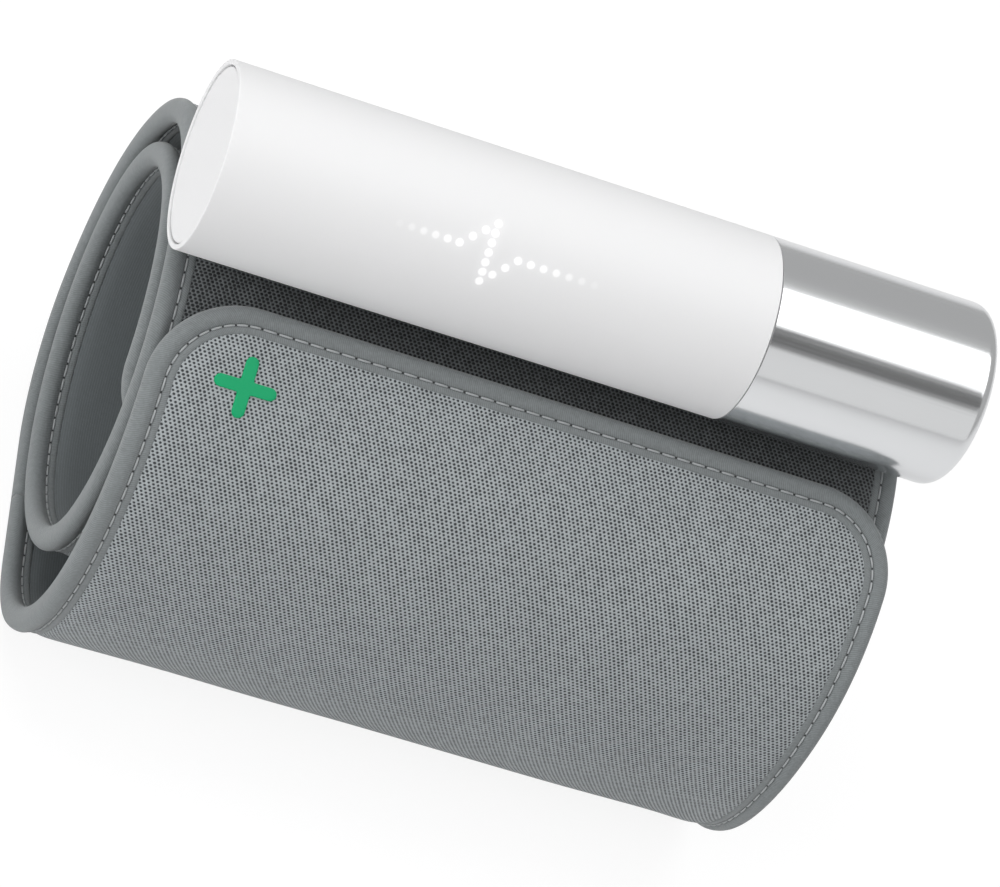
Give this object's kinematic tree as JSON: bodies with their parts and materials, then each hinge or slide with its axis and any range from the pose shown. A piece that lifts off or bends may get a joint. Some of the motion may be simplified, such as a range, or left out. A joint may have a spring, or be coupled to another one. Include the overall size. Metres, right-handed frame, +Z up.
{
  "type": "arm-in blood pressure monitor",
  "caption": "Tube-shaped upper-arm blood pressure monitor with an end button and a dot display, on a pre-curled soft wrap cuff with bound edges",
  "frame": {"origin": "middle of the flat foot on which the coiled cuff stands, halfway along the tube", "axes": "+X along the tube from the button end to the metal end, +Z up, -Y towards the side with the free flap"},
  "size_m": [0.158, 0.105, 0.1361],
  "materials": {
    "outer_mesh": "knitted spacer mesh, light grey",
    "foam": "soft foam padding",
    "lining_cloth": "smooth dark grey lining",
    "binding_tape": "folded and stitched binding tape",
    "hook_tape": "hook fastener",
    "green_print": "green sewn-on sign",
    "bladder_film": "welded air bladder film",
    "clear_sheet": "springy curled sheet",
    "plate_metal": "stamped strip",
    "white_plastic": "fine satin white",
    "grey_plastic": "satin",
    "sleeve_metal": "finely brushed",
    "steel": "plain",
    "seal_rubber": "black",
    "black_plastic": "black",
    "pcb_green": "circuit board",
    "chip_black": "moulded",
    "led": "clear epoxy",
    "flex_amber": "flexible circuit",
    "cell_wrap": "sleeved steel can",
    "contact_brass": "plated",
    "hose_silicone": "silicone",
    "can_metal": "plated can"
  },
  "bodies": {
    "monitor": {"wrap_mesh": "outer_mesh", "wrap_padding": "foam", "wrap_lining": "lining_cloth", "wrap_binding": "binding_tape", "air_bladder": "bladder_film", "stiffener": "clear_sheet", "clamp_plate": "plate_metal", "saddle": "grey_plastic", "mount_screws": "steel", "air_nipple": "grey_plastic", "nipple_seal": "seal_rubber", "white_shell": "white_plastic", "metal_sleeve": "sleeve_metal", "coupling_ring": "grey_plastic", "button_spring": "steel", "button_guide": "grey_plastic", "switch_body": "black_plastic", "chassis": "grey_plastic", "main_board": "pcb_green", "board_screws": "steel", "board_chips": "chip_black", "led_board": "pcb_green", "led_chips": "led", "light_mask": "black_plastic", "flex_strip": "flex_amber", "battery_cell": "cell_wrap", "battery_contacts": "contact_brass", "pressure_sensor": "chip_black", "air_manifold": "grey_plastic", "air_hose": "hose_silicone", "valve_body": "can_metal", "pump_cap": "black_plastic", "pump_diaphragm": "seal_rubber", "pump_housing": "black_plastic", "pump_motor": "can_metal", "charging_port": "steel", "port_board": "pcb_green"},
    "flap": {"flap_mesh": "outer_mesh", "flap_padding": "foam", "flap_lining": "lining_cloth", "flap_binding": "binding_tape", "hook_patch": "hook_tape", "plus_mark": "green_print"},
    "button": {"button_cap": "white_plastic", "button_clip": "steel", "switch_actuator": "grey_plastic"},
    "rotor": {"pump_rotor": "steel"},
    "plunger": {"valve_plunger": "steel"}
  },
  "joints": [
    {"name": "button_press", "type": "slide", "parent": "monitor", "child": "button", "axis": [1, 0, 0], "range_m": [0, 0.0008], "stiffness_N_per_m": 2000, "springref_m": -0.0002},
    {"name": "flap_peel", "type": "hinge", "parent": "monitor", "child": "flap", "pos_m": [0, -0.05033, 0.04985], "axis": [1, 0, 0], "range_deg": [0, 90], "stiffness_Nm_per_rad": 0.02, "springref_deg": -20.05},
    {"name": "pump_turn", "type": "hinge", "parent": "monitor", "child": "rotor", "pos_m": [0.045, 0.00104, 0.11757], "axis": [1, 0, 0], "continuous": true},
    {"name": "valve_close", "type": "slide", "parent": "monitor", "child": "plunger", "axis": [1, 0, 0], "range_m": [0, 0.001], "stiffness_N_per_m": 200, "springref_m": -0.0002}
  ]
}
